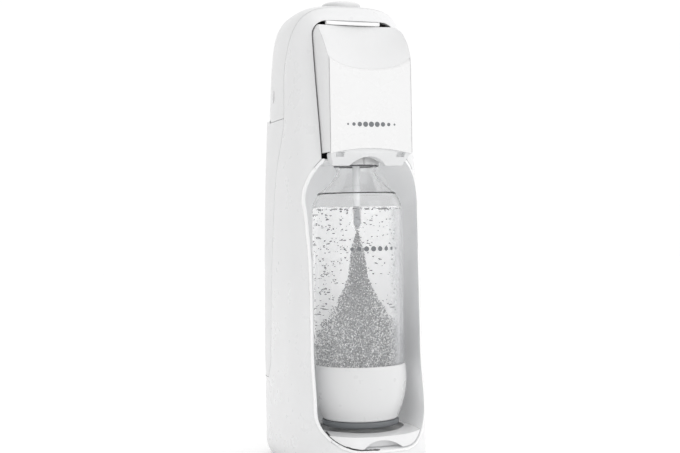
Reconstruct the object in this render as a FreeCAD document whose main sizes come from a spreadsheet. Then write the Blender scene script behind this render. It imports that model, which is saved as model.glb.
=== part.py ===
import FreeCAD, Part
import math
import os
import re
import Sketcher
from FreeCAD import Placement, Rotation, Vector

# Soda carbonator for the kitchen counter, in millimetres.
# Front faces -Y, +X is to the right seen from the front, +Z is up, z = 0 is the worktop.
# The machine is built around its bottle and its gas cylinder: the bottle stands in an open bay,
# screwed into a head that tips forward, and the cylinder hangs behind the bay under a loose cover.

os.makedirs("parts", exist_ok=True)
doc = FreeCAD.newDocument("soda_carbonator")
sheet = doc.addObject("Spreadsheet::Sheet", "sizes")

SIZES = {
    # bottle
    "bottle_radius": 41.5,
    "bottle_height": 257.5,
    "bottle_wall": 1.2,
    "neck_radius": 18.0,
    "neck_length": 28.0,
    "shoulder_height": 64.0,
    "cup_height": 50.0,
    "cup_taper": 6.5,
    "foot_ring_height": 5.5,
    "water_depth": 192.0,
    # bay around the bottle
    "bay_gap": 9.5,
    "bay_back_gap": 6.5,
    "bay_corner": 31.0,
    "foot_clearance": 2.0,
    "cheek": 14.0,
    "front_reach": 18.5,
    # gas cylinder
    "cylinder_radius": 30.0,
    "cylinder_height": 357.0,
    "cylinder_wall": 3.0,
    "cylinder_shoulder": 67.0,
    "cylinder_neck_drop": 37.0,
    "valve_radius": 10.0,
    "cylinder_front_gap": 8.0,
    "cylinder_rear_gap": 10.0,
    "valve_rise": 68.9,
    "valve_stand": 25.0,
    "valve_head_height": 27.0,
    "thread_depth": 45.0,
    "gas_port_drop": 7.0,
    # frame, holder and gas way behind the bay
    "frame_thickness": 2.5,
    "frame_gap": 2.0,
    "frame_inset": 9.0,
    "shelf_thickness": 4.0,
    "shelf_half": 31.0,
    "ear_thickness": 3.5,
    "holder_wall": 8.0,
    "holder_roof": 7.0,
    "pipe_radius": 2.0,
    "pipe_bore": 1.0,
    "pipe_side": 36.0,
    "pipe_bend": 6.0,
    "nut_radius": 4.5,
    # base and tray
    "base_height": 26.0,
    "tray_height": 12.3,
    "floor_gap": 1.5,
    "foot_radius": 6.0,
    "foot_bed": 0.5,
    "foot_inset": 32.0,
    "foot_front_inset": 36.0,
    "foot_rear_inset": 28.0,
    "plate_thickness": 3.0,
    "post_inset": 19.0,
    "post_setback": 10.0,
    "dish_inset": 2.5,
    "dish_floor": 7.0,
    "finger_notch_half": 18.0,
    "finger_notch_arch": 29.0,
    # housing
    "head_height": 128.0,
    "wall": 2.4,
    "liner_wall": 2.0,
    "seam_gap": 0.5,
    "rear_step": 14.0,
    "cover_bottom": 78.0,
    "step_rise": 25.0,
    # head
    "head_half_width": 40.0,
    "head_reach": 41.7,
    "head_round": 42.0,
    "head_drop": 20.5,
    "head_slot_gap": 1.0,
    "sleeve_setback": 14.0,
    "neck_in_head": 18.0,
    "collar_drop": 3.0,
    "seal_thickness": 2.2,
    "head_block_height": 34.0,
    "arm_half": 26.5,
    "arm_half_height": 8.0,
    "panel_thickness": 1.8,
    "collar_wall": 2.7,
    "nozzle_radius": 3.4,
    "nozzle_depth": 20.0,
    "pivot_radius": 3.0,
    "pivot_setback": 18.0,
    "pivot_rise": 12.0,
    "relief_setback": 10.0,
    "relief_radius": 3.5,
    "relief_height": 10.0,
    # controls
    "button_radius": 18.4,
    "button_rise": 6.0,
    "button_travel": 8.0,
    "rod_radius": 5.0,
    "lever_thickness": 8.0,
    "lever_clearance": 11.0,
    "lever_pivot_setback": 12.0,
    "lever_pin_radius": 2.5,
    "lever_half": 7.5,
    "button_depth": 12.0,
    "button_stop_gap": 1.0,
    "latch_half": 10.0,
    "latch_depth": 6.0,
    "latch_inset": 6.0,
    "latch_rise": 0.6,
    "latch_lip_height": 2.5,
    "latch_lip_drop": 3.0,
    # fits
    "running_fit": 0.05,
    "touch_gap": 0.3,
    "slide_gap": 0.5,
    "glue_gap": 0.05,
    "screw_radius": 1.5,
    "pin_radius": 1.5,
    "pin_bore_radius": 2.5,
}

# Places and levels worked out from the sizes above.
PLACES = {
    "bay_half": "bottle_radius + bay_gap",
    "half_width": "bay_half + cheek",
    "base_reach": "bottle_radius + front_reach",
    "axis_gap": "bottle_radius + bay_back_gap + liner_wall + cylinder_front_gap + cylinder_radius",
    "half_depth": "(base_reach + axis_gap + cylinder_radius + cylinder_rear_gap) / 2",
    "bottle_y": "base_reach - half_depth",
    "bay_back": "bottle_y + bottle_radius + bay_back_gap",
    "cylinder_y": "bottle_y + axis_gap",
    "tray_top": "base_height + touch_gap + tray_height",
    "bottle_foot": "tray_top + foot_clearance",
    "neck_top": "bottle_foot + bottle_height",
    "neck_bottom": "neck_top - neck_length",
    "shoulder_bottom": "neck_top - shoulder_height",
    "cup_bottom": "bottle_foot + foot_ring_height",
    "cup_top": "cup_bottom + cup_height",
    "water_top": "cup_bottom + bottle_wall + water_depth",
    "ceiling": "neck_top - neck_in_head",
    "housing_top": "neck_top + head_height",
    "collar_radius": "neck_radius + touch_gap + collar_wall",
    "collar_bottom": "ceiling - collar_drop",
    "head_bottom": "neck_top + touch_gap + seal_thickness",
    "pivot_y": "bottle_y + pivot_setback",
    "pivot_z": "neck_top + pivot_rise",
    "head_front": "bottle_y - head_reach",
    "head_top": "housing_top - head_drop",
    "step_level": "neck_top + step_rise",
    "valve_top": "neck_top + valve_rise",
    "cylinder_bottom": "valve_top - cylinder_height",
    "lever_bottom": "valve_top + lever_clearance",
    "lever_top": "lever_bottom + lever_thickness",
    "lever_pivot_y": "cylinder_y + lever_pivot_setback",
    "lever_pivot_z": "lever_bottom + lever_thickness / 2",
    "button_top": "housing_top + button_rise",
    "button_floor": "button_top - button_depth - button_travel - button_stop_gap",
    "shelf_top": "valve_top - valve_stand",
    "gas_level": "valve_top - gas_port_drop",
    "relief_y": "bottle_y - relief_setback",
    "relief_bottom": "head_bottom + head_block_height",
    "frame_back": "bay_back + liner_wall + frame_gap",
    "plate_bottom": "floor_gap + foot_bed",
    "plate_top": "plate_bottom + plate_thickness",
    "sleeve_back": "pivot_y - sleeve_setback",
    "bottle_base": "cup_bottom + 1",
    "ridge": "shoulder_bottom + 16.5",
    "latch_back": "half_depth - latch_inset",
    "latch_front": "latch_back - latch_depth",
}


def cells(formula, prefix="sizes."):
    """Spell a formula of named sizes and places out in cells of the sheet."""
    def spell(match):
        name = match.group(0)
        if name in PLACES:
            return "(" + cells(PLACES[name], prefix) + ")"
        return prefix + name if name in SIZES else name
    return re.sub(r"[a-z][a-z_]*", spell, str(formula))


def val(formula):
    """The number that a formula gives now."""
    answer = sheet.evalExpression(cells(formula, ""))
    return float(getattr(answer, "Value", answer))


def bind(thing, **formulas):
    """Tie properties of a document object to the sheet."""
    for prop, formula in formulas.items():
        thing.setExpression(prop, cells(formula))
    return thing


def fill_sheet():
    for row, (name, number) in enumerate(SIZES.items(), 1):
        sheet.set(f"A{row}", name)
        sheet.set(f"B{row}", str(number))
        sheet.setAlias(f"B{row}", name)
    doc.recompute()


# ---------------------------------------------------------------- building blocks

def at(thing, x, y, z):
    for axis, formula in zip("xyz", (x, y, z)):
        thing.setExpression("Placement.Base." + axis, cells(formula))
    return thing


def box(name, x, y, z):
    """A block between two formulas along each axis."""
    block = doc.addObject("Part::Box", name)
    bind(block, Length=f"({x[1]}) - ({x[0]})", Width=f"({y[1]}) - ({y[0]})",
         Height=f"({z[1]}) - ({z[0]})")
    return at(block, x[0], y[0], z[0])


TURNS = {"x": Rotation(Vector(0, 1, 0), 90), "y": Rotation(Vector(1, 0, 0), -90), "z": Rotation()}


def rod(name, radius, x, y, z, length, axis="z"):
    """A round bar from its start point along +X, +Y or +Z."""
    bar = doc.addObject("Part::Cylinder", name)
    bar.Placement = Placement(Vector(), TURNS[axis])
    bind(bar, Radius=radius, Height=length)
    return at(bar, x, y, z)


def fuse(name, *shapes):
    joined = doc.addObject("Part::MultiFuse", name)
    joined.Shapes = list(shapes)
    return joined


def cut(name, base, *tools):
    left = doc.addObject("Part::Cut", name)
    left.Base = base
    left.Tool = tools[0] if len(tools) == 1 else fuse(name + "_tools", *tools)
    return left


def common(name, first, second):
    shared = doc.addObject("Part::Common", name)
    shared.Base = first
    shared.Tool = second
    return shared


def arc_between(start, end, radius):
    """The arc from start to end that turns left for a positive radius and right for a negative one."""
    half = (end - start) * 0.5
    rise = math.sqrt(radius * radius - half.Length ** 2)
    left = Vector(-half.y, half.x, 0).normalize()
    centre = start + half + left * math.copysign(rise, radius)
    circle = Part.Circle(centre, Vector(0, 0, 1), abs(radius))
    first, last = (math.atan2(p.y - centre.y, p.x - centre.x) for p in (start, end))
    return Part.ArcOfCircle(circle, *((first, last) if radius > 0 else (last, first)))


def outline(body, role, corners, offset="0"):
    """A closed sketch through (u, v) corners; a third entry makes an arc of that radius to the next."""
    sketch = body.newObject("Sketcher::SketchObject", body.Name + "_outline")
    plane = next(p for p in body.Origin.OriginFeatures if p.Role == role)
    sketch.AttachmentSupport = (plane, [""])
    sketch.MapMode = "FlatFace"
    sketch.setExpression("AttachmentOffset.Base.z", cells(offset))
    points = [Vector(val(c[0]), val(c[1]), 0) for c in corners]
    ends = []
    for index, corner in enumerate(corners):
        start, end = points[index], points[(index + 1) % len(points)]
        if len(corner) == 2:
            line = sketch.addGeometry(Part.LineSegment(start, end), False)
            ends.append((line, 1, 2))
            continue
        radius = val(corner[2])
        arc = sketch.addGeometry(arc_between(start, end, radius), False)
        ends.append((arc, 1, 2) if radius > 0 else (arc, 2, 1))
        limit = sketch.addConstraint(Sketcher.Constraint("Radius", arc, abs(radius)))
        sketch.setExpression(f"Constraints[{limit}]", cells(f"abs({corner[2]})"))
    for index, (edge, start, end) in enumerate(ends):
        following = ends[(index + 1) % len(ends)]
        sketch.addConstraint(Sketcher.Constraint("Coincident", edge, end, following[0], following[1]))
        pin_corner(sketch, edge, start, corners[index], points[index])
    return sketch


def pin_corner(sketch, edge, end, corner, point):
    """Hold one corner of a sketch at its two formulas."""
    for kind, axis, formula, number in (("DistanceX", -2, corner[0], point.x),
                                        ("DistanceY", -1, corner[1], point.y)):
        if abs(number) < 1e-9:
            sketch.addConstraint(Sketcher.Constraint("PointOnObject", edge, end, axis))
            continue
        limit = sketch.addConstraint(Sketcher.Constraint(kind, -1, 1, edge, end, number))
        sketch.setExpression(f"Constraints[{limit}]", cells(formula))


def turned(name, corners, x="0", y="0"):
    """A piece turned about a vertical axis, from (radius, height) corners."""
    body = doc.addObject("PartDesign::Body", name)
    profile = outline(body, "XZ_Plane", corners)
    turn = body.newObject("PartDesign::Revolution", name + "_turn")
    turn.Profile = profile
    turn.ReferenceAxis = (profile, ["V_Axis"])
    turn.Angle = 360
    return at(body, x, y, "0")


def across(name, corners, half):
    """A piece with a (y, z) profile, padded both ways from the middle plane."""
    body = doc.addObject("PartDesign::Body", name)
    pad = body.newObject("PartDesign::Pad", name + "_pad")
    pad.Profile = outline(body, "YZ_Plane", corners)
    pad.Midplane = True
    bind(pad, Length=f"2 * ({half})")
    return body


def forward(name, corners, back, front):
    """A piece with an (x, z) profile, padded from its back towards the front."""
    body = doc.addObject("PartDesign::Body", name)
    pad = body.newObject("PartDesign::Pad", name + "_pad")
    pad.Profile = outline(body, "XZ_Plane", corners, f"-({back})")
    bind(pad, Length=f"({back}) - ({front})")
    return body


def upward(name, corners, bottom, top):
    """A piece with an (x, y) profile, padded up from its bottom."""
    body = doc.addObject("PartDesign::Body", name)
    pad = body.newObject("PartDesign::Pad", name + "_pad")
    pad.Profile = outline(body, "XY_Plane", corners, bottom)
    bind(pad, Length=f"({top}) - ({bottom})")
    return body


def shaped(name, shape):
    """A piece whose form only Part's own functions give."""
    feature = doc.addObject("Part::Feature", name)
    feature.Shape = shape
    return feature


def coil(name, radius, wire, bottom, height, turns, y):
    """A compression spring about a vertical axis."""
    pitch = (val(height) - 2 * wire) / turns
    points = []
    for step in range(12 * turns + 1):
        turn = math.pi * step / 6
        points.append(Vector(radius * math.cos(turn), radius * math.sin(turn), pitch * step / 12))
    path = Part.BSplineCurve()
    path.interpolate(points)
    ring = Part.Circle(points[0], Vector(0, 2 * math.pi * radius, pitch), wire)
    spring = Part.Wire([path.toShape()]).makePipeShell([Part.Wire([ring.toShape()])], True, True)
    feature = shaped(name, spring)
    feature.Placement = Placement(Vector(0, val(y), val(bottom) + wire), Rotation())
    return feature


# ---------------------------------------------------------------- skin of the housing

# Levels of the housing from bottom to top: height, how far the flank, the front and the rear stand
# in from the widest section, and the squareness of the front half.
def skin_levels():
    top, base, roof = val("housing_top"), val("base_height"), val("ceiling")
    bay, head = roof - base, top - roof
    bottle_y = val("bottle_y")
    reach = bottle_y - val("bottle_radius") + val("half_depth")
    bottom = val("floor_gap")
    return [
        (bottom, 8.0, 8.0, 8.0, 2.5),
        (bottom + 3.5, 3.5, 3.5, 3.5, 2.5),
        (bottom + 11.5, 0.6, 0.4, 0.4, 2.5),
        (base, 0.2, 0.1, 0.1, 2.5),
        (base + 0.07 * bay, 0.2, reach - 7.5, 0.1, 2.9),
        (base + 0.14 * bay, 0.2, reach - 2.1, 0.1, 3.3),
        (base + 0.25 * bay, 0.2, reach + 3.3, 0.1, 3.3),
        (base + 0.41 * bay, 0.5, reach + 5.5, 0.2, 3.3),
        (base + 0.68 * bay, 1.5, reach + 6.5, 0.5, 3.3),
        (base + 0.86 * bay, 2.6, reach + 8.0, 0.9, 3.3),
        (roof, 4.0, reach + 11.5, 1.3, 3.3),
        (roof + 0.19 * head, 5.3, reach + 16.3, 1.8, 3.3),
        (roof + 0.37 * head, 6.5, reach + 21.8, 2.5, 3.3),
        (roof + 0.62 * head, 8.2, reach + 29.0, 4.5, 3.3),
        (roof + 0.80 * head, 10.5, reach + 33.0, 9.0, 3.3),
        (roof + 0.907 * head, 14.5, reach + 37.5, 17.0, 3.3),
        (roof + 0.967 * head, 21.0, reach + 44.5, 27.0, 3.3),
        (top, 33.0, reach + 54.5, 40.0, 3.3),
    ]


def rounded_ring(level, half, front, rear, middle, front_power, rear_power):
    """A closed plan outline: two half superellipses that meet at the widest place."""
    points = []
    steps = 28
    for step in range(steps):
        turn = 2 * math.pi * (step + 0.5) / steps
        ahead = math.sin(turn) < 0
        power = 2 / (front_power if ahead else rear_power)
        reach = middle - front if ahead else rear - middle
        x = math.copysign(half * abs(math.cos(turn)) ** power, math.cos(turn))
        y = middle + math.copysign(reach * abs(math.sin(turn)) ** power, math.sin(turn))
        points.append(Vector(x, y, level))
    curve = Part.BSplineCurve()
    curve.interpolate(Points=points, PeriodicFlag=True)
    return Part.Wire([curve.toShape()])


def skin(depth=0.0, rear_inset=0.0):
    """The housing's outer form, or one that lies a depth inside it."""
    half, deep = val("half_width"), val("half_depth")
    middle = val("bay_back") - 4
    top = val("housing_top")
    rings = []
    for level, flank, front, rear, power in skin_levels():
        drop = depth * max(0.0, 1 - (top - level) / 30)
        under = 1.0 if not rings and depth else 0.0
        rings.append(rounded_ring(level - drop - under, half - flank - depth, -deep + front + depth,
                                  deep - rear - rear_inset - depth, middle, power, 4.2))
    return Part.makeLoft(rings, True, False)


def seam_region(behind, low="-10", high="housing_top + 50"):
    """The space in front of or behind the housing's side seam, between two levels."""
    back, cover = val("bay_back"), val("cover_bottom")
    roof, top = val("ceiling"), val("housing_top")
    gap = val("seam_gap") if behind else 0.0
    seam = [(back - 40, top + 60), (back - 36, top - 10), (back - 22, top - 34), (back - 14, top - 60),
            (back - 15, roof + 33), (back - 7, roof + 14), (back + 2, roof - 6),
            (back + 9, roof - 44), (back + 15, roof - 90), (back + 20, cover + 50),
            (back + 22, cover + 16)]
    points = [Vector(0, y + gap, z) for y, z in seam]
    curve = Part.BSplineCurve()
    curve.interpolate(points)
    corner = Vector(0, back + 32 + gap, cover + gap)
    rear = Vector(0, 400, cover + gap)
    if behind:
        rest = [points[-1], corner, rear, Vector(0, 400, top + 60), points[0]]
    else:
        rest = [points[-1], corner, rear, Vector(0, 400, -50), Vector(0, -400, -50),
                Vector(0, -400, top + 60), points[0]]
    edges = [curve.toShape()] + [Part.makeLine(a, b) for a, b in zip(rest, rest[1:])]
    face = Part.Face(Part.Wire(edges))
    region = face.extrude(Vector(400, 0, 0))
    region.translate(Vector(-200, 0, 0))
    slab = Part.makeBox(400, 800, val(high) - val(low), Vector(-200, -400, val(low)))
    return region.common(slab)


def bay_corners(extra="0"):
    """The bay's outline from the front, grown by a formula."""
    half = f"bay_half + ({extra})"
    turn = f"bay_corner + ({extra})"
    floor = f"base_height - ({extra})"
    bend = "base_height + bay_corner"
    return [
        ("-(bay_half - bay_corner)", floor), ("bay_half - bay_corner", floor, turn), (half, bend),
        (half, "ceiling - 90"), (f"{half} + 2", "ceiling - 44", f"bottle_radius + 6.5 + {extra}"),
        (f"bay_half - 13 + ({extra})", f"ceiling + ({extra})"),
        (f"-(bay_half - 13 + ({extra}))", f"ceiling + ({extra})", f"bottle_radius + 6.5 + {extra}"),
        (f"-({half} + 2)", "ceiling - 44"), (f"-({half})", "ceiling - 90"), (f"-({half})", bend, turn),
    ]


def slot_corners(extra="0"):
    """The opening for the head from the front."""
    side = f"head_half_width + head_slot_gap + ({extra})"
    return [(f"-({side})", "ceiling - 12"), (side, "ceiling - 12"), (side, "head_top - 10", "14"),
            (f"{side} - 14", "head_top + 4"), (f"-({side} - 14)", "head_top + 4", "14"),
            (f"-({side})", "head_top - 10")]


# ---------------------------------------------------------------- casing

def screw_places():
    """Where the base screws and their posts stand: x and y formulas."""
    return [(side + "(half_width - post_inset)", y) for y in ("bottle_y", "cylinder_y - post_setback")
            for side in ("-", "")]


def front_housing():
    shell = shaped("front_skin", skin().cut(skin(val("wall"))).common(seam_region(False)))
    bay = forward("bay_opening", bay_corners("liner_wall + touch_gap"), "bay_back - 14", "-half_depth - 20")
    slot = forward("head_slot", slot_corners(), "sleeve_back + 1", "-half_depth - 20")
    sleeve = forward("slot_sleeve", slot_corners("wall"), "sleeve_back", "-half_depth - 20")
    above_bay = box("sleeve_part", ("-half_width", "half_width"), ("-half_depth", "half_depth"),
                    ("ceiling + liner_wall + 1", "housing_top"))
    inside_skin = common("sleeve_trimmed", common("sleeve_above", sleeve, above_bay),
                         shaped("sleeve_limit", skin(val("wall") / 4)))
    body = cut("front_opened", fuse("front_and_sleeve", shell, inside_skin), bay, slot)
    inside = shaped("housing_bulk", skin(val("wall") / 2))
    posts = []
    for index, (x, y) in enumerate(screw_places()):
        post = rod(f"post_{index}", "screw_radius * 3", x, y, "plate_top", "base_height - 8")
        side = (x, f"{x} - 20") if x.startswith("-") else (f"{x} + 20", x)
        low, high = sorted(side, key=val)
        rib = box(f"post_rib_{index}", (low, high), (f"{y} - 1.5", f"{y} + 1.5"),
                  ("plate_top", "base_height - 4.5"))
        posts += [post, rib]
    inner = common("inner_posts", fuse("post_group", *posts), inside)
    holes = [rod(f"post_hole_{index}", "screw_radius", x, y, "0", "base_height - 8")
             for index, (x, y) in enumerate(screw_places())]
    return cut("front_housing", fuse("front_with_posts", body, inner), *holes)


def rear_housing():
    inset = val("rear_step")
    shape = skin(0, inset).cut(skin(val("wall"), inset))
    shell = shaped("rear_skin", shape.common(seam_region(True, "step_level")))
    hole = rod("button_hole", "button_radius + slide_gap", "0", "0", "housing_top - 20", "40")
    dents = [grip_dent(side) for side in (-1, 1)]
    return cut("rear_housing", shell, hole, *dents)


def grip_dent(side):
    """A shallow upright oval hollow in the flank of the rear housing."""
    dent = doc.addObject("Part::Ellipsoid", f"dent_{'left' if side < 0 else 'right'}")
    bind(dent, Radius1="6.5", Radius2="3", Radius3="3.5")
    dent.Placement = Placement(Vector(), Rotation())
    return at(dent, f"{side} * (half_width - 6.8)", "cylinder_y - 20", "step_level + 24")


def rear_cover():
    top = val("step_level") + val("wall") - val("touch_gap")
    block = Part.makeBox(400, 800, top, Vector(-200, -400, 0))
    hollow = Part.makeBox(400, 800, top - val("wall"), Vector(-200, -400, 0))
    outer = skin().common(seam_region(True)).common(block)
    upper = skin(-val("slide_gap"), val("rear_step"))
    above = Part.makeBox(400, 800, 60, Vector(-200, -400, top - val("wall") - 0.1))
    shell = outer.cut(skin(val("wall")).common(hollow)).cut(upper.common(above))
    bracket = box("latch_bracket", ("-8", "8"), ("latch_front + 1.5", "half_depth - 1"),
                  ("step_level - 14", "step_level - 12"))
    trimmed = common("bracket_trimmed", bracket, shaped("cover_bulk", skin(val("wall") / 2)))
    window = box("latch_window", ("-latch_half - touch_gap", "latch_half + touch_gap"),
                 ("latch_front - touch_gap", "latch_back + touch_gap"),
                 ("step_level - 4", "step_level + 10"))
    return cut("rear_cover", fuse("cover_with_bracket", shaped("cover_skin", shell), trimmed), window)


def bay_liner():
    tub = forward("liner_outside", bay_corners("liner_wall"), "bay_back + liner_wall", "-half_depth - 10")
    hollow = forward("liner_inside", bay_corners(), "bay_back", "-half_depth - 12")
    neck = rod("neck_hole", "collar_radius + 3.5", "0", "bottle_y", "ceiling - 20", "40")
    path = box("neck_path", ("-(collar_radius + 3.5)", "collar_radius + 3.5"),
               ("-half_depth - 5", "bottle_y"), ("ceiling - 0.5", "ceiling + 20"))
    mouth = box("head_path", ("-(head_half_width - 1.5)", "head_half_width - 1.5"),
                ("-half_depth - 5", "bottle_y - 20"), ("ceiling - 3", "ceiling + 20"))
    open_tub = cut("liner_opened", tub, hollow, neck, path, mouth)
    trimmed = common("liner_trimmed", open_tub, shaped("skin_bulk", skin()))
    bosses = [rod(f"liner_boss_{i}", "screw_radius * 3", x, "frame_back - frame_gap - 0.5", z,
                  "frame_gap + 0.5", "y") for i, (x, z) in enumerate(frame_screw_places())]
    holes = [rod(f"liner_hole_{i}", "screw_radius", x, "bay_back + 0.8", z, "8", "y")
             for i, (x, z) in enumerate(frame_screw_places())]
    return cut("bay_liner", fuse("liner_with_bosses", trimmed, *bosses), *holes)


def base_plate():
    plate = box("plate_blank", ("-half_width", "half_width"), ("-half_depth", "half_depth"),
                ("plate_bottom", "plate_top"))
    outline_bulk = shaped("plate_outline", skin(val("wall") + val("touch_gap")))
    body = common("plate_trimmed", plate, outline_bulk)
    holes = [rod(f"plate_hole_{i}", "screw_radius + 0.2", x, y, "0", "10")
             for i, (x, y) in enumerate(screw_places())]
    return cut("base_plate", body, *holes)


def foot_places():
    return [(side + "(half_width - foot_inset)", y)
            for y in ("foot_front_inset - half_depth", "half_depth - foot_rear_inset")
            for side in ("-", "")]


def rubber_feet():
    feet = [rod(f"foot_{i}", "foot_radius", x, y, "0", "plate_bottom")
            for i, (x, y) in enumerate(foot_places())]
    return fuse("rubber_feet", *feet)


def base_screws():
    screws = []
    for i, (x, y) in enumerate(screw_places()):
        head = rod(f"base_screw_head_{i}", "screw_radius * 2", x, y, "floor_gap - 0.9", "1.4")
        shank = rod(f"base_screw_shank_{i}", "screw_radius", x, y, "floor_gap", "base_height - 12")
        screws.append(fuse(f"base_screw_{i}", head, shank))
    return fuse("base_screws", *screws)


# ---------------------------------------------------------------- frame and gas way

def frame_screw_places():
    return [(side + "(bay_half - 14)", z) for z in ("base_height + 40", "ceiling - 40")
            for side in ("-", "")]


def frame_screws():
    screws = []
    for i, (x, z) in enumerate(frame_screw_places()):
        head = rod(f"frame_screw_head_{i}", "screw_radius * 2", x, "frame_back + frame_thickness", z,
                   "2", "y")
        shank = rod(f"frame_screw_shank_{i}", "screw_radius", x, "bay_back + 0.8", z,
                    "liner_wall + 4", "y")
        screws.append(fuse(f"frame_screw_{i}", head, shank))
    return fuse("frame_screws", *screws)


def inner_frame():
    side = "bay_half - frame_inset"
    plate = box("frame_plate", (f"-({side})", side), ("frame_back", "frame_back + frame_thickness"),
                ("base_height + 6", "shelf_top"))
    shelf = box("frame_shelf", ("-shelf_half", "shelf_half"), ("bay_back - 12", "cylinder_y + 16"),
                ("shelf_top - shelf_thickness", "shelf_top"))
    sides = (("-shelf_half", "ear_thickness - shelf_half"), ("shelf_half - ear_thickness", "shelf_half"))
    ears = [box(f"frame_ear_{i}", x, ("pivot_y - 9", "frame_back + 1"), ("pivot_z - 12", "shelf_top - 1"))
            for i, x in enumerate(sides)]
    bore = rod("pivot_bore", "pivot_radius + running_fit", "-40", "pivot_y", "pivot_z", "80", "x")
    neck = rod("neck_clearance", "valve_radius + 4", "0", "cylinder_y", "shelf_top - 10", "20")
    holes = [rod(f"frame_hole_{i}", "screw_radius", x, "bay_back", z, "20", "y")
             for i, (x, z) in enumerate(frame_screw_places())]
    return cut("inner_frame", fuse("frame_blank", plate, shelf, *ears), bore, neck, *holes)


def cylinder_holder():
    y = "cylinder_y"
    block = rod("holder_block", "valve_radius + holder_wall", "0", y, "shelf_top",
                "valve_top + holder_roof - shelf_top")
    near, far = "lever_half + slide_gap", "lever_half + ear_thickness"
    ears = [box(f"lever_ear_{i}", x, ("lever_pivot_y - 5", "lever_pivot_y + 4.5"),
                ("valve_top + holder_roof - 2", "lever_pivot_z + 5"))
            for i, x in enumerate(((f"-({far})", f"-({near})"), (near, far)))]
    port = rod("gas_port", "nut_radius + 1", "valve_radius + 4", y, "gas_level", "8", "x")
    socket = rod("valve_socket", "valve_radius + touch_gap", "0", y, "shelf_top - 5",
                 "valve_top + 1.8 - shelf_top + 5")
    pin_bore = rod("pin_bore", "pin_bore_radius", "0", y, "valve_top", "12")
    pivot = rod("lever_bore", "lever_pin_radius", "-20", "lever_pivot_y", "lever_pivot_z", "40", "x")
    way = rod("gas_way", "pipe_bore", "valve_radius", y, "gas_level", "14", "x")
    return cut("cylinder_holder", fuse("holder_blank", block, port, *ears), socket, pin_bore, pivot, way)


def cylinder_seal():
    disc = rod("seal_disc", "valve_radius - 1", "0", "cylinder_y", "valve_top + touch_gap", "1.5")
    return cut("cylinder_seal", disc, rod("seal_hole", "4", "0", "cylinder_y", "valve_top", "4"))


def gas_tube():
    """A bent pipe from the cylinder's holder to the hollow pivot of the head."""
    reach = val("valve_radius") + 15
    out, level = val("pipe_side"), val("gas_level")
    start = Vector(reach, val("cylinder_y"), level)
    route = [start, Vector(out, start.y, level), Vector(out, val("pivot_y"), level),
             Vector(out, val("pivot_y"), val("pivot_z") + 5)]
    bend = val("pipe_bend")
    edges = []
    last = route[0]
    for before, corner, after in zip(route, route[1:], route[2:]):
        into = (corner - before).normalize()
        away = (after - corner).normalize()
        first, end = corner - into * bend, corner + away * bend
        middle = corner + (away - into).normalize() * bend * (math.sqrt(2) - 1)
        edges += [Part.makeLine(last, first), Part.Arc(first, middle, end).toShape()]
        last = end
    edges.append(Part.makeLine(last, route[-1]))
    way = Part.Wire(edges)
    rings = [Part.Wire([Part.Circle(start, Vector(1, 0, 0), r).toShape()]) 
             for r in (val("pipe_radius"), val("pipe_bore"))]
    outer, inner = (way.makePipeShell([ring], True, True) for ring in rings)
    return shaped("gas_tube", outer.cut(inner))


def tube_fittings():
    rear = rod("rear_nut", "nut_radius", "valve_radius + 12", "cylinder_y", "gas_level", "6", "x")
    rear_hole = rod("rear_nut_hole", "pipe_radius", "valve_radius + 11", "cylinder_y", "gas_level", "8", "x")
    front = rod("front_elbow", "nut_radius + 0.5", "shelf_half", "pivot_y", "pivot_z", "9", "x")
    rise = rod("front_rise", "nut_radius - 0.5", "pipe_side", "pivot_y", "pivot_z", "9")
    rise_hole = rod("front_rise_hole", "pipe_radius", "pipe_side", "pivot_y", "pivot_z", "12")
    return fuse("tube_fittings", cut("rear_fitting", rear, rear_hole),
                cut("front_fitting", fuse("front_blank", front, rise), rise_hole))


# ---------------------------------------------------------------- cylinder and its valve

def gas_cylinder():
    """A round-shouldered hollow cylinder with a threaded neck."""
    r, y, t = "cylinder_radius", "cylinder_y", "cylinder_wall"
    low, shoulder = "cylinder_bottom", "valve_top - cylinder_shoulder"
    neck, lip = "valve_top - cylinder_neck_drop", "valve_top - valve_head_height"
    body = turned("cylinder_body", [
        ("0", f"{low} + 4"), (f"{r} - 9", f"{low} + 4"), (f"{r} - 6", low), (f"{r} - 5", low, "5"),
        (r, f"{low} + 5"), (r, shoulder, f"{r} * 1.2"), ("valve_radius + 2", neck),
        ("valve_radius + 2", lip), ("0", lip)], y=y)
    hollow = turned("cylinder_hollow", [
        ("0", f"{low} + 4 + {t}"), (f"{r} - 9", f"{low} + 4 + {t}"), (f"{r} - {t}", f"{low} + 9 + {t}"),
        (f"{r} - {t}", shoulder, f"{r} * 1.2"), ("valve_radius - 4", f"valve_top - thread_depth - {t}"),
        ("0", f"valve_top - thread_depth - {t}")], y=y)
    thread = rod("valve_thread_hole", "valve_radius - 2", "0", y, "valve_top - thread_depth", "30")
    return cut("gas_cylinder", body, hollow, thread)


def cylinder_valve_body():
    y = "cylinder_y"
    stem = rod("valve_stem", "valve_radius - 2", "0", y, "valve_top - thread_depth", "19")
    top = rod("valve_head", "valve_radius", "0", y, "valve_top - valve_head_height", "valve_head_height")
    bore = rod("valve_bore", "3", "0", y, "valve_top - thread_depth + 5", "30")
    guide = rod("valve_guide", "pin_radius + running_fit", "0", y, "valve_top - 15", "20")
    return cut("cylinder_valve_body", fuse("valve_blank", stem, top), bore, guide)


def valve_pin():
    y = "cylinder_y"
    foot = rod("pin_foot", "2.6", "0", y, "valve_top - 16", "3.5")
    stem = rod("pin_stem", "pin_radius", "0", y, "valve_top - 14", "15.5")
    return fuse("valve_pin", foot, stem)


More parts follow.
